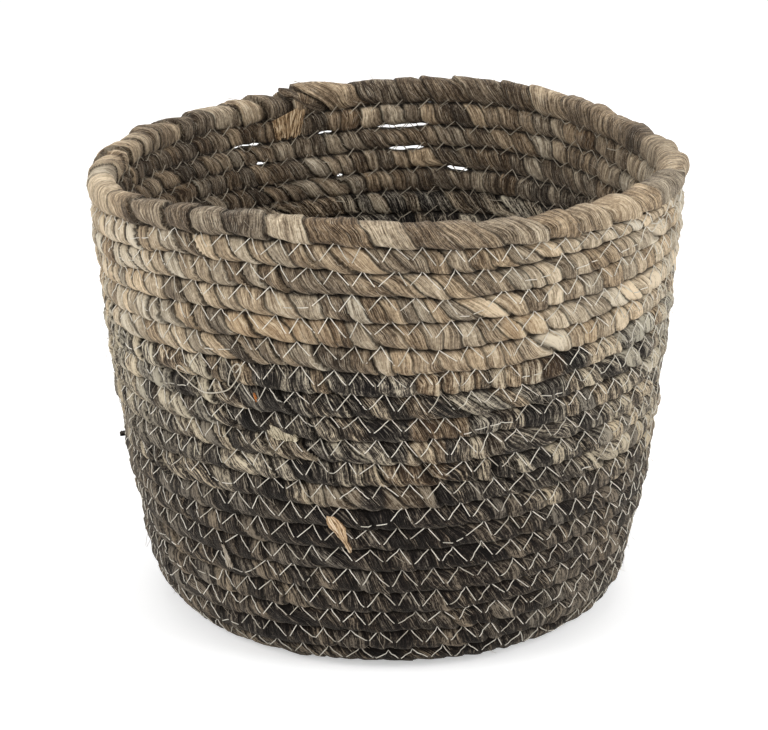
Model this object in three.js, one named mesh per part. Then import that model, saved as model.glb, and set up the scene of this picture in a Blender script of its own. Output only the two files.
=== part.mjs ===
// A round storage basket made of husk rope.
//
// One long rope is wound as a flat spiral for the base and carried on up the wall, turn on turn.
// It is pieced together from four lengths: charcoal ones for the base and the lower wall, a
// mixed grey one for the middle and a natural one for the upper wall. A thicker rope is sewn on
// top as the rim, with its ends lapped. A lockstitched seam joins each turn to the next: its
// needle thread shows outside and its bobbin thread inside. A few husk strips end on the surface.
//
// Millimetres, +Z up. The origin is the middle of the base, on the surface that it stands on.

import * as THREE from 'three';

// Overall form, as the path that the middle of the wall follows
const basketHeight = 195;
const rimOuterDiameter = 250;
const baseFlatRadius = 82; // where the flat base starts to turn up
const footBendRadius = 15;
const footLean = 28; // degrees out from upright, just above the foot
const rimLean = 3.4; // degrees out from upright, at the rim
const footCurveLength = 18; // how far the foot's lean is carried up the wall
const rimCurveLength = 80; // how far the rim's lean is carried down the wall

// The rope
const ropeHeight = 9.2; // across the row, the way the turns are stacked
const ropeWidth = 10.4; // through the wall
const rimRopeHeight = 11.2;
const rimRopeWidth = 11.6;
const coreRadius = 6.6; // middle of the first turn, round the centre of the base
const turnGap = 0.6; // clear gap between neighbouring turns where they lie level
const spliceGap = 0.3; // between two lengths of rope that meet end to end

// The turns, counted down from the top of the spiral, and in 24ths so that their steps line up
const stepsPerTurn = 24;
const naturalTurns = 5;
const mixedTurns = 6;
const climbSteps = 9; // the upper turns climb to the next row within so many steps
const tipSteps = 3; // so many steps before the end of that climb, the rope has thinned out
const stepsToJoin = 5; // from the end of the climb to the rim's join

// Degrees anticlockwise from +X, seen from above
const joinAngle = 110; // where the rim's end lies over its start
const tipAngle = joinAngle - (stepsToJoin * 360) / stepsPerTurn; // where the climb ends

// The rim's lap
const lapSteps = 1;
const lapRise = 3; // how much the lapped end stands up above the rest of the rim
const lapTipHeight = 3; // of the thinned end that lies under it
const lapTipWidth = 7;

// The sewing thread
const threadThickness = 0.7;
const threadSeat = 0.3; // share of the way out from the middle of the wall to its surface

// Husk strips that end on the surface: one beside the join, and two so many rows below the rim
const stripThickness = 0.6;
const stripClearance = 0.3;
const flap = { length: 15, width: 13, tipWidth: 12, lean: 2, pastJoin: 5 };
const looseTip = { length: 14, width: 6, tipWidth: 2, lean: 7, rowsDown: 11.9, angle: -101 };
const lowTip = { length: 9, width: 4, tipWidth: 3, lean: -3, rowsDown: 13.4, angle: -131 };

const degree = Math.PI / 180;

const rimCentre = new THREE.Vector2(
  rimOuterDiameter / 2 - rimRopeWidth / 2,
  basketHeight - rimRopeHeight / 2
);
const profile = makeProfile();
const profileLength = profile.getLength();

// Levels are lengths along that path, from the centre of the base up to the middle of the rim
const rimBottom = profileLength - rimRopeHeight / 2;
const lastRowTop = rimBottom - turnGap;
const lastRowLevel = lastRowTop - ropeHeight / 2;

// The level stretch of a turn lies half a climb above its start, so that its mean climb is even
const climbShare = climbSteps / stepsPerTurn;
const levelOffset = (1 - climbShare) / 2;
const fullTurns = Math.floor((lastRowLevel - coreRadius) / (ropeHeight + turnGap) - levelOffset);
const rowPitch = (lastRowLevel - coreRadius) / (fullTurns + levelOffset);

// Places along the rope are counted in turns from its start in the centre of the base
const ropeEnd = fullTurns + 1 - tipSteps / stepsPerTurn;
const naturalStart = fullTurns + 1 - naturalTurns;
const mixedStart = naturalStart - mixedTurns;
const footTurn = (baseFlatRadius - coreRadius) / rowPitch;
const wallStart = Math.ceil(footTurn);

const basket = new THREE.Group();
basket.add(
  ropeMesh('base_rope', 0, wallStart, 0x2f2b29),
  ropeMesh('dark_rope', wallStart, mixedStart, 0x332f2d),
  ropeMesh('mixed_rope', mixedStart, naturalStart, 0x5d554c),
  ropeMesh('natural_rope', naturalStart, ropeEnd, 0x86775f),
  rimMesh('rim_rope', 0x7d7060),
  threadMesh('needle_thread', 1, 0xcfc8ba),
  threadMesh('bobbin_thread', -1, 0x9a9388),
  stripMesh('husk_flap_at_join', flap, -1, rimBottom - flap.length / 2, joinAngle + flap.pastJoin),
  stripMesh('husk_tip_front', looseTip, 1, rowsBelowRim(looseTip.rowsDown), looseTip.angle),
  stripMesh('husk_tip_low', lowTip, 1, rowsBelowRim(lowTip.rowsDown), lowTip.angle)
);
printLeastGap();

export default basket;

// The flat base, a round foot and the wall, as a path of (radius, height)
function makeProfile() {
  const floor = ropeWidth / 2;
  const bend = Math.PI / 2 - footLean * degree;
  const foot = new THREE.Vector2(
    baseFlatRadius + footBendRadius * Math.sin(bend),
    floor + footBendRadius * (1 - Math.cos(bend))
  );
  const upFromFoot = leaning(footLean).multiplyScalar(footCurveLength).add(foot);
  const downFromRim = rimCentre.clone().sub(leaning(rimLean).multiplyScalar(rimCurveLength));
  const path = new THREE.CurvePath();
  path.add(new THREE.LineCurve(new THREE.Vector2(0, floor), new THREE.Vector2(baseFlatRadius, floor)));
  path.add(
    new THREE.EllipseCurve(
      baseFlatRadius, floor + footBendRadius, footBendRadius, footBendRadius,
      -Math.PI / 2, bend - Math.PI / 2
    )
  );
  path.add(new THREE.CubicBezierCurve(foot, upFromFoot, downFromRim, rimCentre));
  return path;
}

function leaning(degrees) {
  return new THREE.Vector2(Math.sin(degrees * degree), Math.cos(degrees * degree));
}

// Gives the point that lies so far out from the wall's middle and so far up it, at one place
function wallPlace(level, angle) {
  const share = Math.min(level / profileLength, 1);
  const middle = profile.getPoint(share);
  const along = profile.getTangent(share);
  const beyond = Math.max(level - profileLength, 0);
  return (outward, rise) => {
    const radius = middle.x + along.x * (beyond + rise) + along.y * outward;
    const height = middle.y + along.y * (beyond + rise) - along.x * outward;
    return new THREE.Vector3(radius * Math.cos(angle), radius * Math.sin(angle), height);
  };
}

function ropeAngle(turns) {
  return tipAngle * degree + 2 * Math.PI * turns;
}

// How far the rope has climbed after so many turns, in rows, if each turn climbs in one stretch
function steppedClimb(turns) {
  const whole = Math.floor(turns);
  return whole + levelOffset + THREE.MathUtils.smoothstep(turns - whole, 1 - climbShare, 1);
}

// The climb is even on the base, and is gathered more and more towards the natural rope
function ropeLevel(turns) {
  const gathered = THREE.MathUtils.clamp((turns - footTurn) / (naturalStart - footTurn), 0, 1);
  return coreRadius + rowPitch * THREE.MathUtils.lerp(turns, steppedClimb(turns), gathered);
}

// The rope's lower and upper edge and its width. The last turn keeps its upper edge level and
// thins out where the turn under it climbs.
function ropeSize(turns) {
  const level = ropeLevel(turns);
  const lower = turns < fullTurns ? level - ropeHeight / 2 : ropeSize(turns - 1).upper + turnGap;
  const upper = turns < fullTurns ? level + ropeHeight / 2 : lastRowTop;
  const width = ropeWidth * Math.min(1, Math.sqrt((upper - lower) / ropeHeight));
  return { lower, upper, width };
}

// The rim's rope is level. Its start thins out under its end, which stands up over it.
function rimSize(turns) {
  const lap = lapSteps / stepsPerTurn;
  const top = rimBottom + rimRopeHeight;
  if (turns <= 0) {
    const share = 1 + turns / lap;
    const upper = THREE.MathUtils.lerp(rimBottom + lapTipHeight, top, share);
    const width = THREE.MathUtils.lerp(lapTipWidth, rimRopeWidth, share);
    return { lower: rimBottom, upper, width };
  }
  if (turns < 1 - lap) return { lower: rimBottom, upper: top, width: rimRopeWidth };
  const upper = THREE.MathUtils.lerp(top, top + lapRise, (turns - 1 + lap) / lap);
  return { lower: rimSize(turns - 1).upper + turnGap, upper, width: rimRopeWidth };
}

// A six-sided section, with its points towards the rows below and above
function section({ lower, upper, width }, angle) {
  const place = wallPlace((lower + upper) / 2, angle);
  const side = width / 2;
  const point = (upper - lower) / 2;
  const shoulder = point / 2;
  return [
    place(0, point), place(-side, shoulder), place(-side, -shoulder),
    place(0, -point), place(side, -shoulder), place(side, shoulder),
  ];
}

function ropeSection(turns) {
  return section(ropeSize(turns), ropeAngle(turns));
}

// The rings of a tube between two places: its two ends, and the whole steps between them
function placesBetween(from, to) {
  const first = Math.floor(from * stepsPerTurn + 1e-6) + 1;
  const last = Math.ceil(to * stepsPerTurn - 1e-6) - 1;
  const steps = Array.from({ length: last - first + 1 }, (_, step) => (first + step) / stepsPerTurn);
  return [from, ...steps, to];
}

function ropeMesh(name, from, to, color) {
  const start = ropeSection(from)[0];
  const cutBack = from > 0 ? spliceGap / (2 * Math.PI * Math.hypot(start.x, start.y)) : 0;
  return named(name, tubeGeometry(placesBetween(from + cutBack, to).map(ropeSection)), color, 0.95);
}

function rimMesh(name, color) {
  const rings = placesBetween(-lapSteps / stepsPerTurn, 1).map((turns) =>
    section(rimSize(turns), joinAngle * degree + 2 * Math.PI * turns)
  );
  return named(name, tubeGeometry(rings), color, 0.95);
}

// One thread runs the whole seam, seated in the groove between each turn and the next
function threadMesh(name, side, color) {
  const rings = placesBetween(0, ropeEnd).map((turns) => threadSection(turns, side));
  return named(name, tubeGeometry(rings), color, 0.6);
}

function threadSection(turns, side) {
  const angle = ropeAngle(turns);
  const lower = ropeSection(turns);
  const rim = { lower: rimBottom, upper: rimBottom + rimRopeHeight, width: rimRopeWidth };
  const upper = turns + 1 <= ropeEnd ? ropeSection(turns + 1) : section(rim, angle);
  const [lowerSide, upperSide] = side > 0 ? [5, 4] : [1, 2];
  const deep = lower[0].clone().lerp(upper[3], 0.5);
  const mouth = lower[lowerSide].clone().lerp(upper[upperSide], 0.5);
  const seat = deep.clone().lerp(mouth, threadSeat);
  const outward = mouth.clone().sub(deep).normalize();
  const across = upper[3].clone().sub(lower[0]).normalize();
  const corners = [[-1, 0], [0, -1], [0, 1]].map(([out, rise]) =>
    seat.clone()
      .addScaledVector(outward, (out * threadThickness) / 2)
      .addScaledVector(across, (rise * threadThickness) / 2)
  );
  return side > 0 ? corners : corners.reverse();
}

function rowsBelowRim(rows) {
  return rimBottom - rows * rowPitch;
}

// A strip's end that lies on the wall, across the rows, narrowing and leaning towards its tip
function stripMesh(name, { length, width, tipWidth, lean }, side, level, degrees) {
  const reach = profile.getPoint(level / profileLength).x;
  const chordDepth = reach * (1 - Math.cos(Math.PI / stepsPerTurn));
  const inner = ropeWidth / 2 + stripClearance + (side < 0 ? chordDepth : 0);
  const outline = [
    [-width / 2, length / 2], [width / 2, length / 2],
    [lean + tipWidth / 2, -length / 2], [lean - tipWidth / 2, -length / 2],
  ];
  const [bottom, top] = [inner, inner + stripThickness].map((outward) =>
    outline.map(([across, rise]) =>
      wallPlace(level, degrees * degree + across / reach)(side * outward, rise)
    )
  );
  const rings = side > 0 ? [bottom, top] : [top, bottom];
  return named(name, tubeGeometry(rings), 0xb08f62, 0.9);
}

// A closed tube through rings that have equal numbers of points
function tubeGeometry(rings) {
  const sides = rings[0].length;
  const faces = [];
  for (let ring = 0; ring + 1 < rings.length; ring++) {
    for (let side = 0; side < sides; side++) {
      const near = ring * sides + side;
      const next = ring * sides + ((side + 1) % sides);
      faces.push(near, near + sides, next, next, near + sides, next + sides);
    }
  }
  const end = (rings.length - 1) * sides;
  for (let side = 1; side + 1 < sides; side++) {
    faces.push(0, side, side + 1, end, end + side + 1, end + side);
  }
  const geometry = new THREE.BufferGeometry().setFromPoints(rings.flat());
  geometry.setIndex(faces);
  geometry.computeVertexNormals();
  return geometry;
}

function named(name, geometry, color, roughness) {
  const material = new THREE.MeshStandardMaterial({ color, roughness, metalness: 0 });
  const mesh = new THREE.Mesh(geometry, material);
  mesh.name = name;
  return mesh;
}

// Measures the least gap between each turn and the next, on the points of their sections
function printLeastGap() {
  const gaps = placesBetween(0, ropeEnd - 1).flatMap((turns) =>
    ropeSection(turns).flatMap((point) =>
      ropeSection(turns + 1).map((other) => point.distanceTo(other))
    )
  );
  const least = Math.min(...gaps).toFixed(2);
  console.log(`${fullTurns + 2} rows with the rim, ${rowPitch.toFixed(2)} mm apart, least gap ${least} mm`);
}
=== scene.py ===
# A round storage basket of coiled husk rope, sewn row on row with zigzag stitches: charcoal at
# the base and low on the wall, mixed grey in the middle, natural above, with a thicker rope as
# its rim. It stands on a pale floor. Metres, +Z up, and the front is towards -Y.

import math

import bpy
import numpy as np
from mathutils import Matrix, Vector


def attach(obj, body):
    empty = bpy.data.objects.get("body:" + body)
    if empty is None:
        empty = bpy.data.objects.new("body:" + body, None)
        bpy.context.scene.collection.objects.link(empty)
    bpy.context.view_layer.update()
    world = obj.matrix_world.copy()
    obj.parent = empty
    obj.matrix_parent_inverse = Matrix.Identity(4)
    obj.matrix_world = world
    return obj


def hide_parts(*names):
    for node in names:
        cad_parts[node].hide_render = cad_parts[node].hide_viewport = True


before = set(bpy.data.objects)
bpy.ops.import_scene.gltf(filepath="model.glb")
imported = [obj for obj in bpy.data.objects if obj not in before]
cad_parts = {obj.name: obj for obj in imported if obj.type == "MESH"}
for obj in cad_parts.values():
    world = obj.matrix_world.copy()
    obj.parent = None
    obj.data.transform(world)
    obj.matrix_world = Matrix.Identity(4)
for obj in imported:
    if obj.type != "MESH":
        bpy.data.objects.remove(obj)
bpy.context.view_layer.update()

MM = 0.001
DEGREE = math.pi / 180

# The path of the wall's middle, as in the solids
BASKET_HEIGHT = 195 * MM
RIM_OUTER_DIAMETER = 250 * MM
BASE_FLAT_RADIUS = 82 * MM
FOOT_BEND_RADIUS = 15 * MM
FOOT_LEAN = 28 * DEGREE
RIM_LEAN = 3.4 * DEGREE
FOOT_CURVE_LENGTH = 18 * MM
RIM_CURVE_LENGTH = 80 * MM

# The ropes and their turns, as in the solids
ROPE_HEIGHT = 9.2 * MM
ROPE_WIDTH = 10.4 * MM
RIM_ROPE_HEIGHT = 11.2 * MM
RIM_ROPE_WIDTH = 11.6 * MM
CORE_RADIUS = 6.6 * MM
TURN_GAP = 0.6 * MM
CLIMB_SHARE = 9 / 24
TIP_SHARE = 3 / 24
NATURAL_TURNS = 5
MIXED_TURNS = 6
JOIN_ANGLE = 110 * DEGREE
TIP_ANGLE = 35 * DEGREE
LAP_SHARE = 1 / 24
LAP_RISE = 3 * MM

# Where the ropes and the sewing start and differ from the solids
CURL_START = -0.9  # turns before the solids' rope, where it starts curled into the centre
CENTRE_LEVEL = 0.3 * MM  # the nearest that the rope's edge comes to the centre of the base
FOOT_REACH = 0.3  # turns before and after the foot, over which the base becomes the wall
WIDTH_WANDER = 0.15 * MM
BASE_THINNED = 0.3 * MM
SEAM_START = 0.6  # turns, where the sewing starts

# In how many points each path is worked out
FLAT_POINTS = 120
FOOT_POINTS = 120
WALL_POINTS = 1500
CURL_POINTS = 200
RUN_POINTS = 8000
SEAM_POINTS = 9000

# The rim's own ends: its start thins out from below and above, and its end stands up
RIM_END = 1.007  # turns from the join to the tip of the thick end
RIM_START_RAISED = 3.5 * MM
RIM_START_LOWERED = 4 * MM
RIM_END_LOWERED = 0.6 * MM
RIM_END_WIDER = 0.7 * MM
RIM_TIP_ROUNDING = 1.6 * MM
RIM_THINNED_LEFT = 1.2 * MM

# The wraps on the rim: the angle in degrees where each ends, and how far it stands up there
RIM_WRAPS = [(127, 1.0 * MM), (139, 1.7 * MM), (155, 1.6 * MM), (171, 1.2 * MM)]

# Stretches of the rim in degrees: the middle, half the length and how much paler
RIM_STRETCHES = [
    (170, 13, 0.26), (199, 20, 0.3), (228, 19, -0.3), (135, 17, 0.2), (98, 14, -0.08),
    (28, 22, -0.12),
]

# How far the hand-made wall is out of round at its rim: waves round it, their reach, and the
# angle in degrees where they're highest or widest
HEIGHT_SWAYS = [(1, 2.7 * MM, 0), (2, 2.5 * MM, 80), (3, 1.0 * MM, -20), (4, 1.4 * MM, -25)]
WIDTH_SWAYS = [(1, 1.2 * MM, -160), (3, 1.7 * MM, -40), (4, 1.1 * MM, -33)]
FRONT_ROW_RAISE = 1.2 * MM

# The husk strips that the ropes are twisted from
LAY_LENGTH = 17 * MM
LAY_SLANT = 1.8  # how far the strips go round the rope for each step along it
STRIPS_PER_LAY = 2
STRIP_WANDERS = [(24.0, 3.4), (70.0, 0.7)]  # how fine they are, and their reach in strips
LUMP_FINENESS = 130.0
SQUARENESS = 0.78  # 1 is a round rope, and less is squarer
OTHER_CHANCE = 0.37  # added to a strip's number for its second random value
ROW_OVERLAP = 0.12 * MM  # so that rows which touch leave no slit
FLOOR_GAP = 0.05 * MM  # so that no face lies exactly in the floor
SEAM_WANDER = 0.6 * MM
WALL_WANDER = 0.6 * MM
RAGGED_TURN = 19.5  # the middle of the stretch where the strips gape and fray most
RAGGED_REACH = 4.2

# How far the strips are dyed at turns of the rope: 0 natural, 1 mixed grey, 2 charcoal
DYE_STEPS = [
    (0, 2), (15.2, 2), (16.1, 1.5), (17.5, 1.2), (21.3, 0.95), (21.9, 0.8), (22.4, 0.75),
    (22.5, 0.1), (22.78, 0.1), (22.85, 0.55), (23, 0.5), (23.1, 0.05), (27, 0),
]

# The sewing thread and its zigzag stitches
THREAD_RADIUS = 0.2 * MM
THREAD_SIDES = 5
THREAD_LIFT = 0.15 * MM
HALF_STITCH = 5.5 * MM
SHORTEST_STITCH = 0.75  # shares of its usual reach across the seam
LONGEST_STITCH = 1.2
STRAY_ALONG = 1.3 * MM
STRAY_ACROSS = 0.7 * MM
STITCH_CUTS = 6
END_DEPTH = 1.1 * MM  # how deep a stitch's ends go into the rope
END_SHARE = 0.12  # of a stitch, over which it goes in
SEARCH_REACH = 14 * MM  # how far off the seam the ropes' faces are looked for
HIGHEST_ON_WALL = 10.85 * MM  # how far a stitch may stand off the seam
HIGHEST_ON_BASE = 4.85 * MM
LEFT_FROM, LEFT_TO = -110 * MM, -85 * MM  # where stitches sink in deeper at the left

# The loose fibres, each shaped as if it were 1 long and then given its length
MEAN_FIBRE = 6 * MM
FIBRE_SIDES = 3

# Places where the wall's rows stand apart: the row below, from and to in degrees
LIGHT_SLITS = [
    (3, 120.5, 127), (3, 103.4, 106.4), (3, 82.5, 92), (4, 83, 89.5), (5, 72.5, 76.5),
    (4, 119.2, 121.7), (5, 101.2, 102.4), (4, 23, 27),
]
SLIT_HEIGHT = 1.7 * MM

# Patches on the rows: row, from and to in degrees, how tan and how much paler; the patch 1.0 darker
# is painted shade in a hollow between strips
PATCHES = [
    (5, -119, -108, 0.9, 0.0), (5, -107, -100, 0.6, 0.05), (5, -68, -61, 0.9, 0.1),
    (6, -89, -68, 0.25, 0.16), (6, -62, -50, 0.2, 0.14), (4, -72, -66, 0.3, 0.15),
    (7, -84, -74, 0.6, 0.12), (7, -69, -57, 0.4, 0.12), (7, -131, -123, 0.1, 0.34),
    (9, -85, -76, 0.6, 0.1), (10, -86, -80, 0.4, 0.2), (10, -74, -68, 0.1, 0.15),
    (11, -90, -80, 0.4, 0.02), (12, -90, -82, 0.2, 0.28), (12, -107, -97, 0.2, 0.24),
    (9, -142, -132, 0.1, 0.28), (10, -137, -128, 0.1, 0.3), (2, 97, 104, 0.5, 0.1),
    (9, -118.6, -114.6, 0.0, -1.0), (11, -112, -72, 0.0, -0.12), (13, -95, -72, 0.0, -0.2),
    (5, -130, -122, 0.0, -0.3), (6, -120, -111, 0.0, -0.25), (5, -88, -80, 0.2, 0.2),
    (7, -59, -52, 0.0, -0.3), (7, -49, -41, 0.2, 0.3), (9, -113, -103, 0.0, -0.25),
]

# A slack stitch that lies in loops on the wall: degrees and rows below the rim
SLACK_THREAD = [
    (-121.6, 6.15), (-121.3, 5.65), (-120.5, 5.2), (-119.2, 4.95), (-118.4, 5.1), (-118.7, 5.4),
    (-120.1, 5.85), (-121.6, 6.2), (-124.4, 6.4), (-127.2, 6.5), (-129.6, 6.35), (-131.4, 6.1),
    (-133.4, 5.9), (-134.2, 5.7), (-133.3, 5.5), (-131.8, 5.65), (-130.6, 5.9),
]
SLACK_RADIUS = 1.35 * THREAD_RADIUS
SLACK_SIDES = 6
SLACK_STAND = 6.1 * MM
SLACK_END_DEPTH = 3 * MM


# The form of the wall

def leaning(angle):
    return np.array([math.sin(angle), math.cos(angle)])


def wall_profile():
    """Levels, radii and heights along the path from the centre of the base to the rim."""
    floor = ROPE_WIDTH / 2
    bend = math.pi / 2 - FOOT_LEAN
    turned = np.linspace(0, bend, FOOT_POINTS)
    outwards = np.linspace(0, BASE_FLAT_RADIUS, FLAT_POINTS)
    flat = np.stack([outwards, np.full(FLAT_POINTS, floor)], 1)
    foot = np.stack([
        BASE_FLAT_RADIUS + FOOT_BEND_RADIUS * np.sin(turned),
        floor + FOOT_BEND_RADIUS * (1 - np.cos(turned)),
    ], 1)
    rim = np.array([
        RIM_OUTER_DIAMETER / 2 - RIM_ROPE_WIDTH / 2,
        BASKET_HEIGHT - RIM_ROPE_HEIGHT / 2,
    ])
    first = foot[-1] + leaning(FOOT_LEAN) * FOOT_CURVE_LENGTH
    second = rim - leaning(RIM_LEAN) * RIM_CURVE_LENGTH
    share = np.linspace(0, 1, WALL_POINTS)[:, None]
    wall = (
        (1 - share) ** 3 * foot[-1] + 3 * (1 - share) ** 2 * share * first
        + 3 * (1 - share) * share ** 2 * second + share ** 3 * rim
    )
    points = np.concatenate([flat[:-1], foot[:-1], wall])
    steps = np.linalg.norm(np.diff(points, axis=0), axis=1)
    return np.concatenate([[0], np.cumsum(steps)]), points[:, 0], points[:, 1]


LEVELS, RADII, HEIGHTS = wall_profile()
SLOPE_OUT = np.gradient(RADII, LEVELS)
SLOPE_UP = np.gradient(HEIGHTS, LEVELS)

RIM_BOTTOM = LEVELS[-1] - RIM_ROPE_HEIGHT / 2
RIM_TOP = RIM_BOTTOM + RIM_ROPE_HEIGHT
LAST_ROW_TOP = RIM_BOTTOM - TURN_GAP
LAST_ROW_LEVEL = LAST_ROW_TOP - ROPE_HEIGHT / 2
LEVEL_OFFSET = (1 - CLIMB_SHARE) / 2
FULL_TURNS = math.floor(
    (LAST_ROW_LEVEL - CORE_RADIUS) / (ROPE_HEIGHT + TURN_GAP) - LEVEL_OFFSET
)
ROW_PITCH = (LAST_ROW_LEVEL - CORE_RADIUS) / (FULL_TURNS + LEVEL_OFFSET)
ROPE_END = FULL_TURNS + 1 - TIP_SHARE
NATURAL_START = FULL_TURNS + 1 - NATURAL_TURNS
MIXED_START = NATURAL_START - MIXED_TURNS
FOOT_TURN = (BASE_FLAT_RADIUS - CORE_RADIUS) / ROW_PITCH
WALL_START = math.ceil(FOOT_TURN)


def smooth_step(value, low, high):
    share = np.clip((value - low) / (high - low), 0, 1)
    return share * share * (3 - 2 * share)


def wander(distance, seed, shortest, longest):
    """A smooth random curve from about -1 to 1, along a distance in metres."""
    random = np.random.default_rng(seed)
    waves = np.geomspace(shortest, longest, 5) * random.uniform(0.85, 1.15, 5)
    starts = random.uniform(0, 2 * math.pi, 5)
    return sum(np.sin(2 * math.pi * distance / w + s) for w, s in zip(waves, starts)) / 2.4


def right_share(angle, low, high):
    return smooth_step(np.cos(angle), low, high)


def left_share(angle, low, high):
    return smooth_step(-np.cos(angle), low, high)


def back_share(angle, low, high):
    return smooth_step(np.sin(angle), low, high)


def front_share(angle, low, high):
    return smooth_step(-np.sin(angle), low, high)


def swayed(sways, angle):
    return sum(reach * np.cos(waves * (angle - top * DEGREE)) for waves, reach, top in sways)


def settled(radius, height, angle):
    """The hand-made basket's lean and sway, which grow towards the rim."""
    share = np.clip(height / BASKET_HEIGHT, 0, 1) ** 1.5
    widened = radius + share * swayed(WIDTH_SWAYS, angle)
    return widened, height + share * swayed(HEIGHT_SWAYS, angle)


def wall_place(level, angle):
    """The wall's middle and its directions out and up, at levels and angles."""
    beyond = np.maximum(level - LEVELS[-1], 0)
    slope_out = np.interp(level, LEVELS, SLOPE_OUT)
    slope_up = np.interp(level, LEVELS, SLOPE_UP)
    radius = np.interp(level, LEVELS, RADII) + slope_out * beyond
    height = np.interp(level, LEVELS, HEIGHTS) + slope_up * beyond
    radius, height = settled(radius, height, angle)
    east, north = np.cos(angle), np.sin(angle)
    middle = np.stack([radius * east, radius * north, height], -1)
    out = np.stack([slope_up * east, slope_up * north, -slope_out], -1)
    up = np.stack([slope_out * east, slope_out * north, slope_up], -1)
    return middle, out, up


# The run of the ropes

def rope_angle(turns):
    return TIP_ANGLE + 2 * math.pi * turns


def rope_level(turns):
    """Level of the rope's middle: an even climb on the base, gathered into steps above."""
    whole = np.floor(turns)
    stepped = whole + LEVEL_OFFSET + smooth_step(turns - whole, 1 - CLIMB_SHARE, 1)
    gathered = np.clip((turns - FOOT_TURN) / (NATURAL_START - FOOT_TURN), 0, 1)
    return CORE_RADIUS + ROW_PITCH * (turns + (stepped - turns) * gathered)


def base_share(turns):
    """1 where the rope lies flat as the base, and 0 where it climbs as the wall."""
    return 1 - smooth_step(turns, FOOT_TURN - FOOT_REACH, FOOT_TURN + FOOT_REACH)


def run_length(turns):
    """Rope length from where the solids' rope starts, in metres."""
    return np.interp(turns, RUN_TURNS, RUN_LENGTHS)


def run_table():
    """Turns of the rope and its length up to each."""
    curl = np.linspace(CURL_START, 0, CURL_POINTS)[:-1]
    turns = np.concatenate([curl, np.linspace(0, ROPE_END + 1, RUN_POINTS)])
    radius = np.interp(np.maximum(rope_level(turns), MM), LEVELS, RADII)
    steps = 2 * math.pi * radius[1:] * np.diff(turns)
    lengths = np.concatenate([[0], np.cumsum(steps)])
    return turns, lengths - np.interp(0, turns, lengths)


RUN_TURNS, RUN_LENGTHS = run_table()


def turn_at(row, degrees):
    """Where on the rope a row of the wall passes an angle, the rim being row 1."""
    place = (degrees * DEGREE - TIP_ANGLE) / (2 * math.pi) % 1
    return math.floor(ROPE_END - place) + place - (row - 2)


def on_patch(turns, row, low, high, edge):
    """1 along a stretch of a row, falling to 0 at its ends."""
    half = (high - low) / 2 / 360
    away = np.abs(turns - turn_at(row, (low + high) / 2))
    return smooth_step(half * 1.35 - away, 0, half * edge)


def slit_share(turns):
    """How far the seam over the rope stands open, from 0 to 1."""
    return np.clip(sum(on_patch(turns, *slit, 0.5) for slit in LIGHT_SLITS), 0, 1)


def patched(turns, which):
    """How tan, or how much paler, the rope is at its patches."""
    return sum(
        (tan, paler)[which] * on_patch(turns, row, low, high, 0.25)
        for row, low, high, tan, paler in PATCHES
    )


def front_raise(angle):
    """How far the upper rows and the rim's underside stand higher at the front."""
    return front_share(angle, 0.2, 0.9) * FRONT_ROW_RAISE


def seam_level(turns):
    """Level of the seam on top of the rope, halfway to the next turn or under the rim."""
    halfway = rope_level(turns) + ROW_PITCH / 2
    between = (rope_level(turns) + rope_level(turns + 1)) / 2
    level = np.where(turns < NATURAL_START, between, halfway)
    under_rim = smooth_step(turns, ROPE_END - 1 - 0.01, ROPE_END - 1 + 0.02)
    level = level + (RIM_BOTTOM - level) * under_rim
    sway = wander(run_length(turns), 3, 0.035, 0.21) * SEAM_WANDER * smooth_step(turns, 7, 9)
    upper_rows = smooth_step(turns, ROPE_END - 5, ROPE_END - 2.5)
    raised = front_raise(rope_angle(turns)) * upper_rows
    return level + sway * (1 - 0.6 * under_rim) + raised


def rope_edges(turns):
    """The rope's lower and upper edge."""
    upper = seam_level(turns) + ROW_OVERLAP - slit_share(turns) * SLIT_HEIGHT / 2
    below = turns - 1
    lower = seam_level(below) - ROW_OVERLAP + slit_share(below) * SLIT_HEIGHT / 2
    return np.maximum(lower, CENTRE_LEVEL), upper


def path_mesh(name, middle, values):
    """A chain of edges whose points carry the named values."""
    mesh = bpy.data.meshes.new(name)
    count = len(middle)
    mesh.vertices.add(count)
    mesh.vertices.foreach_set("co", middle.astype(np.float32).ravel())
    mesh.edges.add(count - 1)
    ends = np.stack([np.arange(count - 1), np.arange(1, count)], 1)
    mesh.edges.foreach_set("vertices", ends.astype(np.int32).ravel())
    for key, value in values.items():
        kind, field = ("FLOAT", "value") if value.ndim == 1 else ("FLOAT_VECTOR", "vector")
        layer = mesh.attributes.new(key, kind, "POINT")
        layer.data.foreach_set(field, value.astype(np.float32).ravel())
    return mesh


def directions(middle):
    forward = np.gradient(middle, axis=0)
    return forward / np.linalg.norm(forward, axis=1)[:, None]


def painted_side_light(angle, dye):
    """Painted light and shade: the wall is painted paler at its left and right than at its front,
    the more so where undyed.
    """
    paler = 0.09 * right_share(angle, 0.1, 0.8) + (0.03 * dye) * left_share(angle, 0.1, 0.8)
    is_mixed = smooth_step(dye, 0.3, 0.8) * (1 - smooth_step(dye, 1.3, 1.8))
    darker = 0.09 * is_mixed * front_share(angle, 0.5, 0.95)
    return np.cos(2 * angle) * (0.17 - 0.03 * dye) + 0.12 - 0.04 * dye + paler - darker


def painted_inner_shade(angle):
    """How much painted shade darkens the ropes on their inner side, most at the left and right."""
    at_sides = smooth_step(np.abs(np.cos(angle)), 0.25, 0.9)
    return 0.11 + 0.3 * at_sides + 0.07 * left_share(angle, 0.25, 0.9)


def frayed(turns, angle):
    """How ragged the rope is: not at all on the base, and most in the mixed rows at the left."""
    at_left = left_share(angle + 20 * DEGREE, 0.3, 0.9)
    ragged = smooth_step(RAGGED_REACH - np.abs(turns - RAGGED_TURN), 0, 1.5)
    off_base = smooth_step(turns, WALL_START + 0.5, WALL_START + 1.5)
    return off_base * (0.3 + 0.3 * ragged + 0.4 * ragged * at_left)


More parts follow.
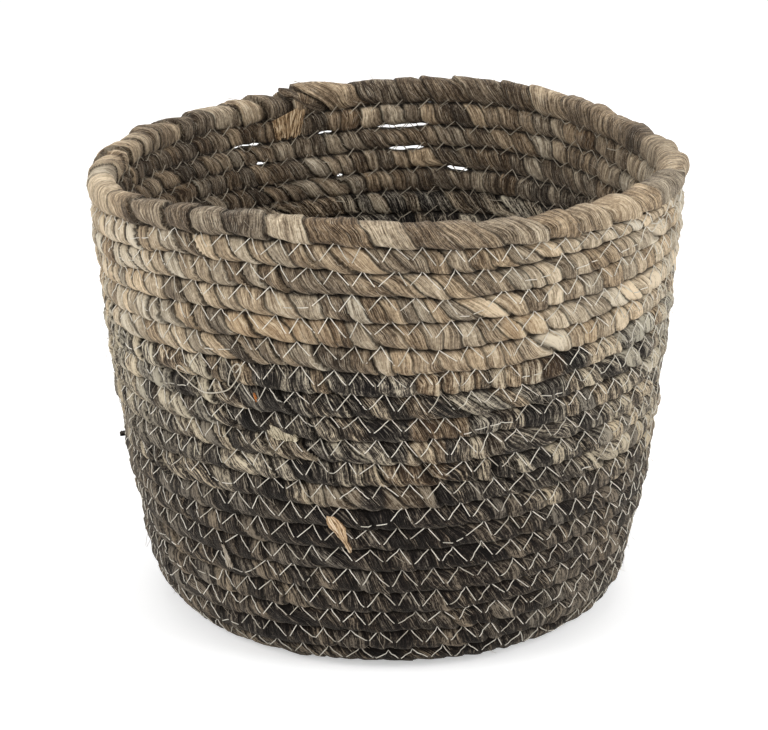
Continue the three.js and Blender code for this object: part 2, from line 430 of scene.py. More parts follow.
def rope_points(start, end, step):
    """Even steps along the rope as turns and as lengths, with more of them in its curled start."""
    count = int((run_length(end) - run_length(start)) / step)
    along = np.linspace(run_length(start), run_length(end), count)
    if start < 0:
        along = np.union1d(along, run_length(np.linspace(start, 1, 80)))
    turns = np.interp(along, RUN_LENGTHS, RUN_TURNS)
    turns[0], turns[-1] = start, end
    return turns, along


def wall_rope_path(name, start, end, step):
    """The middle of one rope of the base or wall, from one turn to another."""
    turns, along = rope_points(start, end, step)
    lower, upper = rope_edges(turns)
    angle = rope_angle(turns)
    middle, out, up = wall_place((lower + upper) / 2, angle)
    on_base = base_share(turns)
    stand = wander(along, 11, 0.05, 0.4) * WALL_WANDER * smooth_step(turns, 8, 10)
    middle = middle + out * (stand * (1 - on_base))[:, None]
    half_height = (upper - lower) / 2
    thinned = np.sqrt(np.clip(2 * half_height / ROW_PITCH, 0.05, 1))
    half_width = (ROPE_WIDTH / 2 + WIDTH_WANDER * wander(along, 5, 0.02, 0.1)) * thinned
    dye = np.interp(turns, *np.transpose(DYE_STEPS))
    # Painted light: the side light is painted into this shade value, along with the husk's own
    # random and patched shades
    tone_and_painted_light = painted_side_light(angle, dye) + 0.05 * wander(along, 21, 0.04, 0.3) + patched(turns, 1)
    return path_mesh(name, middle, {
        "centre": middle, "out": out, "up": up, "forward": directions(middle),
        "half_width": half_width - BASE_THINNED * on_base, "half_height": half_height,
        "along": along, "shear": np.zeros(len(along)), "dye": dye, "tone_and_painted_light": tone_and_painted_light,
        "tan": patched(turns, 0), "inside": painted_inner_shade(angle), "fray": frayed(turns, angle),
    })


def rim_stretches(angle):
    """How much paler or darker the rim is along its stretches."""
    paler = np.zeros(len(angle))
    for middle, half, share in RIM_STRETCHES:
        away = np.abs((angle / DEGREE - middle + 180) % 360 - 180)
        paler += share * smooth_step(half - away, 0, 8)
    return paler


def rim_wraps(angle):
    """How far the rim's wraps stand up at their ends, and where painted shadow darkens the step
    beside each end.
    """
    raised, painted_notch_shadow = np.zeros(len(angle)), np.zeros(len(angle))
    for end, height in RIM_WRAPS:
        past = (angle / DEGREE - end + 180) % 360 - 180
        raised += height * smooth_step(past, -11, 0) * (1 - smooth_step(past, 0, 0.9))
        painted_notch_shadow += smooth_step(past, 0, 0.7) * (1 - smooth_step(past, 0.7, 2.6))
    return raised, painted_notch_shadow


def rim_path(name, step):
    """The rim's rope: its start thins out inside its thick end, which stands up over it."""
    radius = RADII[-1]
    count = int(2 * math.pi * radius * (RIM_END + LAP_SHARE) / step)
    turns = np.linspace(-LAP_SHARE, RIM_END, count)
    angle = JOIN_ANGLE + 2 * math.pi * turns
    along = turns * 2 * math.pi * radius
    start = smooth_step(turns, -LAP_SHARE, 0.004)
    end = smooth_step(turns, 1 - 1.4 * LAP_SHARE, 1)
    to_tip = (RIM_END - turns) * 2 * math.pi * radius
    rounded = np.sqrt(np.clip(to_tip / RIM_TIP_ROUNDING, 0.05, 1))
    raised = front_raise(angle)
    lower = RIM_BOTTOM - ROW_OVERLAP + (1 - start) * RIM_START_RAISED + raised
    lapped = end * (LAP_RISE - RIM_END_LOWERED)
    upper = RIM_TOP - (1 - start) * RIM_START_LOWERED + lapped - 0.4 * raised
    swell = 1 + 0.05 * wander(along, 8, 0.02, 0.12) * start
    middle_level = (RIM_BOTTOM + RIM_TOP) / 2
    lower = middle_level + (lower - middle_level) * rounded
    upper = middle_level + (upper - middle_level) * rounded * swell
    wrapped, painted_notch_shadow = rim_wraps(angle)
    thinned = RIM_THINNED_LEFT * left_share(angle, 0.2, 0.9) * back_share(angle, -0.1, 0.3)
    upper = upper - thinned + wrapped
    half_width = RIM_ROPE_WIDTH / 2 * (0.5 + 0.5 * start) + end * RIM_END_WIDER + 0.4 * wrapped
    middle, out, up = wall_place((lower + upper) / 2, angle)
    # Painted light and shade: the rim is painted paler towards the right and darker at the back,
    # where its inner face is in the basket's shade, and painted shadow darkens the step beside each
    # wrap's end; its inner side also gets painted shade
    tone_and_painted_light = 0.03 + 0.07 * np.cos(angle) + 0.05 * wander(along, 22, 0.05, 0.3)
    tone_and_painted_light = tone_and_painted_light - 0.08 * back_share(angle, 0.3, 1) + rim_stretches(angle) - 0.4 * painted_notch_shadow
    return path_mesh(name, middle, {
        "centre": middle, "out": out, "up": up, "forward": directions(middle),
        "half_width": half_width * rounded * swell, "half_height": (upper - lower) / 2,
        "along": along, "shear": 1.1 * smooth_step(turns, 1 - 0.02, 1),
        "dye": np.full(count, 0.1), "tan": np.zeros(count), "tone_and_painted_light": tone_and_painted_light,
        "fray": np.full(count, 0.35), "inside": np.full(count, 0.12),
    })


def seam_path(name):
    """The seam that the stitches follow, on top of the rope from the base to its end."""
    along = np.linspace(run_length(SEAM_START), run_length(ROPE_END), SEAM_POINTS)
    turns = np.interp(along, RUN_LENGTHS, RUN_TURNS)
    middle, out, up = wall_place(seam_level(turns), rope_angle(turns))
    return path_mesh(name, middle, {
        "out": out, "up": up, "forward": directions(middle), "on_base": base_share(turns),
    })


# The trees that shape ropes, stitches and fibres

class Nodes:
    """Adds nodes to a tree and links them by the names or places of their sockets."""

    def __init__(self, tree):
        self.tree = tree

    def node(self, kind, inputs=None, **settings):
        made = self.tree.nodes.new(kind)
        for key, value in settings.items():
            setattr(made, key, value)
        for key, value in (inputs or {}).items():
            self.give(made, key, value)
        return made

    def give(self, made, key, value):
        if isinstance(key, int):
            socket = made.inputs[key]
        else:
            socket = next(s for s in made.inputs if s.name == key and s.enabled)
        if isinstance(value, bpy.types.NodeSocket):
            self.tree.links.new(value, socket)
        else:
            socket.default_value = value

    def add(self, kind, inputs=None, out=None, **settings):
        """Adds a node and gives its first output, or the one that is named."""
        outputs = [s for s in self.node(kind, inputs, **settings).outputs if s.enabled]
        return next(s for s in outputs if out in (None, s.name))

    def math(self, operation, *values):
        return self.add("ShaderNodeMath", dict(enumerate(values)), operation=operation)

    def sum(self, *values):
        total = values[0]
        for value in values[1:]:
            total = self.math("ADD", total, value)
        return total

    def product(self, *values):
        total = values[0]
        for value in values[1:]:
            total = self.math("MULTIPLY", total, value)
        return total

    def vector(self, operation, *values):
        return self.add("ShaderNodeVectorMath", dict(enumerate(values)), operation=operation)

    def scaled(self, vector, factor):
        return self.add(
            "ShaderNodeVectorMath", {0: vector, "Scale": factor}, operation="SCALE"
        )

    def joined(self, x, y, z):
        return self.add("ShaderNodeCombineXYZ", {0: x, 1: y, 2: z})

    def ramped(self, value, low, high, to_low=0.0, to_high=1.0):
        """A smooth change between two values, held beyond them."""
        return self.add("ShaderNodeMapRange", {
            "Value": value, "From Min": low, "From Max": high,
            "To Min": to_low, "To Max": to_high,
        }, interpolation_type="SMOOTHSTEP")

    def noise(self, vector, scale, detail=2.0, w=None, roughness=0.5):
        """Noise about 0, from about -0.5 to 0.5."""
        inputs = {"Vector": vector, "Scale": scale, "Detail": detail, "Roughness": roughness}
        if w is not None:
            inputs["W"] = w
        fac = self.add(
            "ShaderNodeTexNoise", inputs, noise_dimensions="3D" if w is None else "4D"
        )
        return self.math("SUBTRACT", fac, 0.5)

    def chance(self, value, out="Value"):
        """A random number from 0 to 1, or a random colour, for each whole value."""
        return self.add("ShaderNodeTexWhiteNoise", {"W": value}, out, noise_dimensions="1D")


def shape_tree(name, sockets):
    """A geometry tree with named inputs, and the sockets of its group input."""
    tree = bpy.data.node_groups.new(name, "GeometryNodeTree")
    tree.interface.new_socket("Geometry", in_out="INPUT", socket_type="NodeSocketGeometry")
    for label, kind in sockets.items():
        tree.interface.new_socket(label, in_out="INPUT", socket_type="NodeSocket" + kind)
    tree.interface.new_socket("Geometry", in_out="OUTPUT", socket_type="NodeSocketGeometry")
    return tree, Nodes(tree), tree.nodes.new("NodeGroupInput").outputs


def close_tree(tree, n, geometry, material):
    """Ends a tree with smooth faces, real copies and the finish."""
    smooth = n.add("GeometryNodeSetShadeSmooth", {"Geometry": geometry})
    real = n.add("GeometryNodeRealizeInstances", {"Geometry": smooth})
    finished = n.add("GeometryNodeSetMaterial", {"Geometry": real, "Material": material})
    output = tree.nodes.new("NodeGroupOutput")
    tree.links.new(finished, output.inputs[0])
    return tree


def field(n, name, kind="FLOAT"):
    return n.add("GeometryNodeInputNamedAttribute", {"Name": name}, data_type=kind)


def rope_directions(n):
    """Out of the basket, up its wall and forward along the rope."""
    return [field(n, name, "FLOAT_VECTOR") for name in ("out", "up", "forward")]


def kept(n, geometry, name, value, kind="FLOAT"):
    return n.add(
        "GeometryNodeStoreNamedAttribute",
        {"Geometry": geometry, "Name": name, "Value": value}, data_type=kind, domain="POINT",
    )


def swept(n, line, section):
    return n.add("GeometryNodeCurveToMesh", {
        "Curve": line, "Profile Curve": section, "Fill Caps": True,
    })


def thread_along(n, line, sides, radius):
    circle = n.add("GeometryNodeCurvePrimitiveCircle", {"Resolution": sides, "Radius": radius})
    return swept(n, line, circle)


def random_value(n, seed, index, low, high):
    return n.add("FunctionNodeRandomValue", {
        "Min": low, "Max": high, "ID": index, "Seed": seed,
    }, data_type="FLOAT")


def rope_tree():
    """Sweeps a rounded section along a path and lays husk strips round it.

    Where the rope lies on the floor, the floor presses it flat.
    """
    tree, n, given = shape_tree("twisted husk rope", {
        "Sides": "Int", "Lay Length": "Float", "Strips": "Float", "Crease Depth": "Float",
        "Overlap Step": "Float", "Gap Depth": "Float", "Curl Height": "Float",
        "Lump Height": "Float", "Open Top": "Float", "Material": "Material",
    })
    circle = n.add("GeometryNodeCurvePrimitiveCircle", {
        "Resolution": given["Sides"], "Radius": MM,
    })
    place = n.sum(n.add("GeometryNodeInputIndex"), 0.5)
    section = kept(n, circle, "around", n.math("DIVIDE", place, given["Sides"]))
    tube = swept(n, n.add("GeometryNodeMeshToCurve", {"Mesh": given["Geometry"]}), section)
    around = field(n, "around")
    out, up, forward = rope_directions(n)
    turned = n.math("MULTIPLY_ADD", around, 2 * math.pi, -math.pi / 2)
    outward, upward = n.math("COSINE", turned), n.math("SINE", turned)
    wide = n.product(squared_off(n, outward), field(n, "half_width"))
    high = n.product(squared_off(n, upward), field(n, "half_height"))
    sheared = n.product(high, field(n, "shear"))
    position = field(n, "centre", "FLOAT_VECTOR")
    for direction, distance in ((out, wide), (up, high), (forward, sheared)):
        position = n.vector("ADD", position, n.scaled(direction, distance))

    strip, relief = laid_strips(n, given, position, around)
    top = n.math("MAXIMUM", n.ramped(upward, -0.2, 0.5), 0.0)
    side = n.ramped(n.math("ABSOLUTE", outward), 0.1, 0.5)
    shown = n.math("MAXIMUM", side, n.product(given["Open Top"], top))
    facing = n.vector("ADD", n.scaled(out, outward), n.scaled(up, upward))
    surface = n.vector("ADD", position, n.scaled(facing, n.product(relief, shown)))

    sweep = n.vector("SUBTRACT", n.scaled(up, outward), n.scaled(out, upward))
    lay = n.vector("SUBTRACT", forward, n.scaled(sweep, LAY_SLANT))
    tube = kept(n, tube, "strip", strip)
    tube = kept(n, tube, "lay", lay, "FLOAT_VECTOR")
    shaped = n.add("GeometryNodeSetPosition", {
        "Geometry": tube, "Position": off_floor(n, surface, FLOOR_GAP),
    })
    return close_tree(tree, n, shaped, given["Material"])


def laid_strips(n, given, position, around):
    """Which strip lies at each place of the rope, and how far it stands out there."""
    along, fray = field(n, "along"), field(n, "fray")
    later = n.product(along, 0.3)
    turns = n.sum(n.math("DIVIDE", along, given["Lay Length"]), around)
    uneven = n.sum(*(
        n.product(n.noise(position, fineness, 0.0, later), reach)
        for fineness, reach in STRIP_WANDERS
    ))
    uneven = n.product(uneven, given["Strips"], 0.5)
    strip = n.sum(n.product(turns, given["Strips"]), uneven)
    share, whole = n.math("FRACT", strip), n.math("FLOOR", strip)
    luck = n.chance(whole)
    other_luck = n.chance(n.sum(whole, OTHER_CHANCE))
    pillow = n.math("SQRT", n.product(share, n.math("SUBTRACT", 1.0, share), 4.0))
    depth = n.product(
        given["Crease Depth"], n.math("MULTIPLY_ADD", luck, 0.9, 0.45),
        n.math("MULTIPLY_ADD", fray, 0.8, 0.8),
    )
    pillow = n.product(n.math("SUBTRACT", pillow, 0.8), depth)
    step = n.product(
        n.math("SUBTRACT", share, 0.5), given["Overlap Step"],
        n.math("MULTIPLY_ADD", other_luck, 1.6, -0.3),
    )
    gap, curl = gapes_and_curls(n, whole, share, fray)
    gap = n.product(gap, given["Gap Depth"], fray)
    curl = n.product(curl, given["Curl Height"], fray)
    lumps = n.product(n.noise(position, LUMP_FINENESS, 2.0), given["Lump Height"])
    return strip, n.math("SUBTRACT", n.sum(pillow, step, lumps, curl), gap)


def off_floor(n, position, least):
    """The position, but at least that high, as the floor presses on what lies there."""
    parts = n.add("ShaderNodeSeparateXYZ", {0: position}, "X").node.outputs
    return n.joined(parts["X"], parts["Y"], n.math("MAXIMUM", parts["Z"], least))


def gapes_and_curls(n, whole, share, fray):
    """Where a strip gapes at its start, and where the strip before it curls up over the gap."""
    gapes = []
    for strip_on in (0, 1):
        luck = n.chance(n.sum(whole, strip_on + OTHER_CHANCE))
        gapes.append(n.ramped(n.math("MULTIPLY_ADD", fray, 0.4, luck), 0.98, 1.08))
    gap = n.product(gapes[0], n.ramped(share, 0.06, 0.22, 1.0, 0.0))
    curl = n.product(gapes[1], n.ramped(share, 0.6, 0.85))
    return gap, curl


def squared_off(n, value):
    """Squares a circle's sine or cosine a little, for rows that press on each other."""
    squared = n.math("POWER", n.math("ABSOLUTE", value), SQUARENESS)
    return n.product(squared, n.math("SIGN", value))


def stitch_tree():
    """Zigzag stitches along a seam, each lying on the ropes with its ends in them."""
    tree, n, given = shape_tree("zigzag stitches", {
        "Ropes": "Object", "Half Stitch": "Float", "Rise": "Float", "Drop": "Float",
        "Side": "Float", "Bridge": "Float", "Missed Share": "Float", "Buried": "Float",
        "Buried At Left": "Float", "Thread Radius": "Float", "Seed": "Int",
        "Material": "Material",
    })
    line = n.add("GeometryNodeMeshToCurve", {"Mesh": given["Geometry"]})
    line = n.add("GeometryNodeResampleCurve", {
        "Curve": line, "Length": given["Half Stitch"],
    }, mode="LENGTH")
    index = n.add("GeometryNodeInputIndex")
    line = kept(n, line, "stitch", index)
    out, up, forward = rope_directions(n)
    line = n.add("GeometryNodeSetPosition", {
        "Geometry": line, "Offset": needle_hole(n, given, index, up, forward),
    })
    line = n.add("GeometryNodeSubdivideCurve", {"Curve": line, "Cuts": STITCH_CUTS})
    away = n.scaled(out, given["Side"])
    position = n.add("GeometryNodeInputPosition")
    height = stitch_height(n, given, position, away)
    resting = n.vector("ADD", position, n.scaled(away, height))
    line = n.add("GeometryNodeSetPosition", {
        "Geometry": line, "Position": off_floor(n, resting, FLOOR_GAP + THREAD_RADIUS),
    })
    thread = thread_along(n, line, THREAD_SIDES, given["Thread Radius"])
    return close_tree(tree, n, thread, given["Material"])


def needle_hole(n, given, index, up, forward):
    """Where a stitch goes through, from the seam: by turns above and below, and a little astray."""
    odd = n.math("MODULO", index, 2.0)
    missed = random_value(n, n.sum(given["Seed"], 3.0), index, 0.0, 1.0)
    odd = n.math("MAXIMUM", odd, n.math("LESS_THAN", missed, given["Missed Share"]))
    reach = n.math("SUBTRACT", given["Rise"], n.product(odd, n.sum(given["Rise"], given["Drop"])))
    uneven = random_value(n, given["Seed"], index, SHORTEST_STITCH, LONGEST_STITCH)
    slid = random_value(n, n.sum(given["Seed"], 1.0), index, -STRAY_ALONG, STRAY_ALONG)
    raised = random_value(n, n.sum(given["Seed"], 2.0), index, -STRAY_ACROSS, STRAY_ACROSS)
    across = n.sum(n.product(reach, uneven), raised)
    return n.vector("ADD", n.scaled(up, across), n.scaled(forward, slid))


def stitch_height(n, given, position, away):
    """How far from the seam the thread lies: on the ropes' faces, with its ends sunk in them."""
    ropes = n.add("GeometryNodeObjectInfo", {"Object": given["Ropes"]}, "Geometry")
    cast = n.node("GeometryNodeRaycast", {
        "Target Geometry": ropes,
        "Source Position": n.vector("ADD", position, n.scaled(away, SEARCH_REACH)),
        "Ray Direction": n.scaled(away, -1.0), "Ray Length": 2 * SEARCH_REACH,
    })
    hit = n.vector("SUBTRACT", cast.outputs["Hit Position"], position)
    height = n.add("ShaderNodeVectorMath", {0: hit, 1: away}, "Value", operation="DOT_PRODUCT")
    height = n.product(height, cast.outputs["Is Hit"])
    stitch = field(n, "stitch")
    share = n.math("FRACT", stitch)
    falling = n.math("SUBTRACT", 1.0, n.math("MODULO", n.math("FLOOR", stitch), 2.0))
    from_start = n.math("DIVIDE", share, n.math("MULTIPLY_ADD", falling, 1.6, 1.0))
    from_end = n.math("MINIMUM", from_start, n.math("SUBTRACT", 1.0, share))
    sunk = n.ramped(from_end, 0.0, END_SHARE, END_DEPTH, 0.0)
    height = n.math("MAXIMUM", height, given["Bridge"])
    height = n.math("SUBTRACT", n.sum(height, THREAD_LIFT), sunk)
    from_left = n.add("ShaderNodeSeparateXYZ", {0: position}, "X")
    buried = n.ramped(from_left, LEFT_FROM, LEFT_TO, given["Buried At Left"], given["Buried"])
    tight = n.math("MULTIPLY_ADD", n.math("SUBTRACT", falling, 0.5), given["Side"], 0.5)
    height = n.math("SUBTRACT", height, n.product(tight, buried))
    lower_on_base = HIGHEST_ON_BASE - HIGHEST_ON_WALL
    limit = n.math("MULTIPLY_ADD", field(n, "on_base"), lower_on_base, HIGHEST_ON_WALL)
    return n.math("MINIMUM", height, limit)


def fibre_tree():
    """Loose fibres that stand off the ropes along the lay of their strips."""
    tree, n, given = shape_tree("loose husk fibres", {
        "Density": "Float", "Shortest": "Float", "Longest": "Float", "Lift": "Float",
        "Stray": "Float", "Fibre Radius": "Float", "Seed": "Int", "Material": "Material",
    })
    fray = field(n, "fray")
    scatter = n.node("GeometryNodeDistributePointsOnFaces", {
        "Mesh": given["Geometry"], "Density": n.product(fray, given["Density"]),
        "Seed": given["Seed"],
    })
    bend = n.add("GeometryNodeCurvePrimitiveBezierSegment", {
        "Resolution": 5, "Start": (0, 0, -0.03), "Start Handle": (0.3, 0, 0.05),
        "End Handle": (0.7, 0.08, 0.05), "End": n.joined(1.0, 0.15, given["Lift"]),
    })
    radius = n.math("DIVIDE", given["Fibre Radius"], MEAN_FIBRE)
    fibre = thread_along(n, bend, FIBRE_SIDES, radius)
    stray = n.add("FunctionNodeRandomValue", {
        "Min": (-1, -1, -1), "Max": (1, 1, 1), "Seed": given["Seed"],
    }, data_type="FLOAT_VECTOR")
    stray = n.scaled(stray, given["Stray"])
    aim = n.vector("ADD", field(n, "lay", "FLOAT_VECTOR"), stray)
    turn = n.add("FunctionNodeAxesToRotation", {
        "Primary Axis": scatter.outputs["Normal"], "Secondary Axis": aim,
    }, primary_axis="Z", secondary_axis="X")
    index = n.add("GeometryNodeInputIndex")
    other_seed = n.sum(given["Seed"], 5.0)
    length = random_value(n, other_seed, index, given["Shortest"], given["Longest"])
    fibres = n.add("GeometryNodeInstanceOnPoints", {
        "Points": scatter.outputs["Points"], "Instance": fibre, "Rotation": turn,
        "Scale": length,
    })
    return close_tree(tree, n, fibres, given["Material"])


def grown(name, mesh, tree, material, **inputs):
    """The plain mesh that a tree makes from a mesh, as a new object."""
    source = bpy.data.objects.new(name + "_path", mesh)
    bpy.context.scene.collection.objects.link(source)
    modifier = source.modifiers.new("shape", "NODES")
    modifier.node_group = tree
    values = {key.replace("_", " ").title(): value for key, value in inputs.items()}
    values["Material"] = material
    for item in tree.interface.items_tree:
        if item.item_type == "SOCKET" and item.in_out == "INPUT" and item.name in values:
            modifier[item.identifier] = values[item.name]
    source.update_tag()
    bpy.context.view_layer.update()
    graph = bpy.context.evaluated_depsgraph_get()
    result = bpy.data.meshes.new_from_object(
        source.evaluated_get(graph), preserve_all_data_layers=True, depsgraph=graph
    )
    bpy.data.objects.remove(source)
    result.name = name
    made = bpy.data.objects.new(name, result)
    bpy.context.scene.collection.objects.link(made)
    return made


def facing_out(piece):
    """Turns a closed piece's faces round if they point inwards."""
    mesh = piece.data
    mesh.calc_loop_triangles()
    corners = np.zeros(len(mesh.loop_triangles) * 3, np.int32)
    mesh.loop_triangles.foreach_get("vertices", corners)
    points = np.zeros(len(mesh.vertices) * 3, np.float32)
    mesh.vertices.foreach_get("co", points)
    a, b, c = points.reshape(-1, 3)[corners.reshape(-1, 3)].transpose(1, 0, 2)
    if np.einsum("ij,ij->", a, np.cross(b, c)) < 0:
        mesh.flip_normals()
    return piece


# What the ropes' meshes carry to shape them and lay their fibres, and no finish reads
ROPE_HELPERS = (
    "out", "up", "forward", "lay", "centre", "half_width", "half_height", "shear", "along",
)


def without_helpers(piece, *names):
    """Takes the named values off a piece."""
    for name in names:
        layer = piece.data.attributes.get(name)
        if layer:
            piece.data.attributes.remove(layer)


# The finishes

def colour(red, green, blue):
    """A colour written as it looks on screen, from 0 to 255, as light."""
    values = [x / 255 for x in (red, green, blue)]
    return [x / 12.92 if x < 0.04045 else ((x + 0.055) / 1.055) ** 2.4 for x in values] + [1]


NATURAL_SHADES = [(50, 40, 31), (99, 84, 69), (149, 132, 111), (194, 176, 151), (234, 218, 194)]
MIXED_SHADES = [(16, 13, 12), (40, 35, 32), (82, 75, 68), (140, 129, 115), (210, 199, 177)]
CHARCOAL_SHADES = [(12, 9, 8), (25, 19, 17), (44, 37, 32), (77, 68, 60), (138, 126, 111)]
TAN_SHADES = [(76, 58, 43), (118, 96, 72), (158, 132, 102), (188, 163, 130), (218, 198, 166)]
FLAP_SHADES = [(66, 48, 33), (104, 80, 56), (152, 125, 93), (192, 166, 131), (218, 198, 167)]
TIP_SHADES = [(78, 56, 38), (138, 110, 80), (190, 161, 126), (214, 189, 156), (232, 216, 192)]
PALE_SHADES = [(88, 78, 66), (134, 122, 106), (172, 160, 142), (200, 190, 174), (222, 214, 200)]
OLIVE_SHADES = [(72, 64, 52), (118, 108, 90), (160, 148, 124), (190, 178, 152), (212, 202, 178)]
ORANGE_SHADES = [(112, 62, 28), (150, 88, 42), (184, 114, 58), (202, 136, 78), (218, 164, 112)]
SHADE_STOPS = [0.0, 0.25, 0.5, 0.75, 1.0]
MIDDLE_SHADE = 0.48
LOW_SHINE = 0.12
SHEEN_SHADE = (210, 200, 186)
WARM_CAST = (255, 248, 236)
COOL_CAST = (240, 246, 250)
PALE_HAIR_SHADE = (212, 202, 184)
PAINTED_CREASE_SHADOW = (17, 13, 11)
PAINTED_SEAM_SHADOW = (24, 19, 16)
FIBRE_SHADE = (178, 166, 148)

# Each thread clean and soiled
OUTER_THREAD_SHADES = ((230, 224, 211), (184, 177, 162))
INNER_THREAD_SHADES = ((178, 168, 150), (140, 130, 114))
SLACK_THREAD_SHADES = ((204, 196, 180), (160, 150, 134))

# How much each kind of grain in the husk shades it, and how far it stands up as bumps
GRAIN_SHADING = {"fibres": 2.5, "hairs": 2.2, "streaks": 2.0, "specks": 1.4}
GRAIN_BUMPS = {"fibres": 1.0, "hairs": 0.5, "streaks": 0.8, "specks": 0.35}


def fresh_material(name, roughness):
    material = bpy.data.materials.new(name)
    material.use_nodes = True
    tree = material.node_tree
    shader = tree.nodes["Principled BSDF"]
    shader.inputs["Roughness"].default_value = roughness
    shader.inputs["Specular IOR Level"].default_value = LOW_SHINE
    return material, Nodes(tree), shader


def shades(n, value, colours):
    """A colour between the darkest and the palest, for a value from 0 to 1."""
    made = n.node("ShaderNodeValToRGB", {"Fac": value})
    stops = made.color_ramp.elements
    while len(stops) < len(colours):
        stops.new(0.5)
    for stop, place, shade in zip(stops, SHADE_STOPS, colours):
        stop.position = place
        stop.color = colour(*shade)
    return made.outputs["Color"]


def mixed(n, share, first, second, blend="MIX"):
    return n.add(
        "ShaderNodeMix", {0: share, 6: first, 7: second}, "Result",
        data_type="RGBA", blend_type=blend,
    )


def painted(n, name):
    return n.add("ShaderNodeAttribute", out="Fac", attribute_name=name)


def along_strips(n, strip, whole, across, length, detail):
    """Noise drawn out along the strips, finer across them the larger the number."""
    around = n.product(painted(n, "around"), length)
    place = n.joined(n.product(strip, across), around, whole)
    return n.noise(place, 1.0, detail, roughness=0.7)


def husk_grain(n, place, strip, whole, fine):
    """The kinds of grain in a strip: all but the specks are drawn out along it."""
    return {
        "fibres": along_strips(n, strip, whole, 13.0 * fine, 4.0, 4.0),
        "hairs": along_strips(n, strip, whole, 34.0 * fine, 5.0, 3.0),
        "streaks": along_strips(n, strip, whole, 4.5 * fine, 2.2, 2.0),
        "specks": n.noise(place, 800.0, 4.0, roughness=0.7),
    }


def weighed(n, values, weights):
    return n.sum(*(n.product(values[key], weight) for key, weight in weights.items()))


def bumpy(n, shader, height, strength, distance):
    bump = n.add("ShaderNodeBump", {
        "Strength": strength, "Distance": distance, "Height": height,
    })
    n.give(shader, "Normal", bump)


def dyed_husk(n, dye, light, strip_luck):
    """The colour of a strip that is more or less dyed and lit, a little warm or cool."""
    body = mixed(
        n, n.ramped(dye, 0.1, 0.9), shades(n, light, NATURAL_SHADES), shades(n, light, MIXED_SHADES)
    )
    body = mixed(n, n.ramped(dye, 1.0, 1.7), body, shades(n, light, CHARCOAL_SHADES))
    cast = mixed(n, strip_luck, colour(*WARM_CAST), colour(*COOL_CAST))
    return mixed(n, 1.0, body, cast, "MULTIPLY")


def husk_material(name, tan_share, open_top=0.0, fine=1.0):
    """Husk strips with their own shades and fibres, and painted shade in creases, seams and inside.
    """
    material, n, shader = fresh_material(name, 0.85)
    shader.inputs["Sheen Weight"].default_value = 0.2
    shader.inputs["Sheen Roughness"].default_value = 0.4
    shader.inputs["Sheen Tint"].default_value = colour(*SHEEN_SHADE)
    place = n.add("ShaderNodeTexCoord", out="Object")
    ragged = n.noise(place, 420.0, 2.0)
    strip = n.sum(painted(n, "strip"), n.product(ragged, 0.06 / fine))
    whole, share = n.math("FLOOR", strip), n.math("FRACT", strip)
    split = n.node("ShaderNodeSeparateColor", {"Color": n.chance(whole, "Color")}).outputs
    luck, dye_luck, tan_luck = split["Red"], split["Green"], split["Blue"]
    grain = husk_grain(n, place, strip, whole, fine)
    gap, curl = gapes_and_curls(n, whole, share, painted(n, "fray"))
    dye = painted(n, "dye")
    own_shade = n.product(n.math("SUBTRACT", luck, 0.5), n.ramped(dye, 0.0, 0.8, 0.46, 0.62))
    contrast = n.ramped(dye, 0.0, 0.8, 0.6, 1.15)
    # The lightness takes in painted light on the wall's sides and painted shade on the ropes' inner
    # side
    light = n.sum(
        own_shade, n.product(weighed(n, grain, GRAIN_SHADING), contrast),
        painted(n, "tone_and_painted_light"), MIDDLE_SHADE,
        n.product(inner_share(n), painted(n, "inside"), -1.0), n.product(curl, 0.22),
    )
    varied = n.math("SUBTRACT", dye_luck, 0.5)
    dye = n.sum(dye, n.product(varied, n.ramped(dye, 0.0, 1.0, 0.2, 1.0)))
    body = dyed_husk(n, dye, light, dye_luck)
    is_tan = n.ramped(tan_luck, 1 - tan_share, 1 - tan_share * 0.6, 0.0, 0.4)
    is_tan = n.math("MAXIMUM", is_tan, painted(n, "tan"))
    body = mixed(n, is_tan, body, shades(n, light, TAN_SHADES))
    undyed = n.math("MULTIPLY_ADD", dye, -0.28, 0.65)
    pale = n.product(n.ramped(grain["hairs"], 0.07, 0.18), undyed)
    body = mixed(n, pale, body, colour(*PALE_HAIR_SHADE))
    # Painted shade: darker colour in the strips' creases and gaps, and where the next row lies on
    # the rope
    body = mixed(n, painted_crease_shade(n, share, luck, gap, fine), body, colour(*PAINTED_CREASE_SHADOW))
    body = mixed(n, painted_seam_shadow(n, open_top), body, colour(*PAINTED_SEAM_SHADOW))
    n.give(shader, "Base Color", body)
    bumpy(n, shader, weighed(n, grain, GRAIN_BUMPS), 0.9, 0.8 * MM)
    return material


def painted_crease_shade(n, share, luck, gap, fine):
    """How much painted shade darkens a strip at its edges, and in the gap where a strip stands off.
    """
    edge = n.math("MINIMUM", share, n.math("SUBTRACT", 1.0, share))
    line = n.ramped(edge, 0.0, 0.13 / fine, 1.0, 0.0)
    line = n.product(line, n.math("MULTIPLY_ADD", luck, 0.5, 0.45))
    gap = n.product(gap, n.ramped(painted(n, "fray"), 0.1, 0.7))
    return n.math("MAXIMUM", line, n.product(gap, 0.95))


def inner_share(n):
    """1 on the side of the rope that faces into the basket, where painted shade darkens it."""
    turned = n.product(painted(n, "around"), 2 * math.pi)
    return n.ramped(n.math("SINE", turned), -0.5, 0.1, 1.0, 0.0)


def painted_seam_shadow(n, open_top):
    """How much painted shade darkens the rope where the next row lies on it."""
    turned = n.product(painted(n, "around"), 2 * math.pi)
    upward = n.product(n.math("COSINE", turned), -1.0)
    lower = n.ramped(upward, -0.99, -0.8, 0.8, 0.0)
    upper = n.ramped(upward, 0.8, 0.99, 0.0, 0.8 * (1 - open_top))
    return n.math("MAXIMUM", lower, upper)


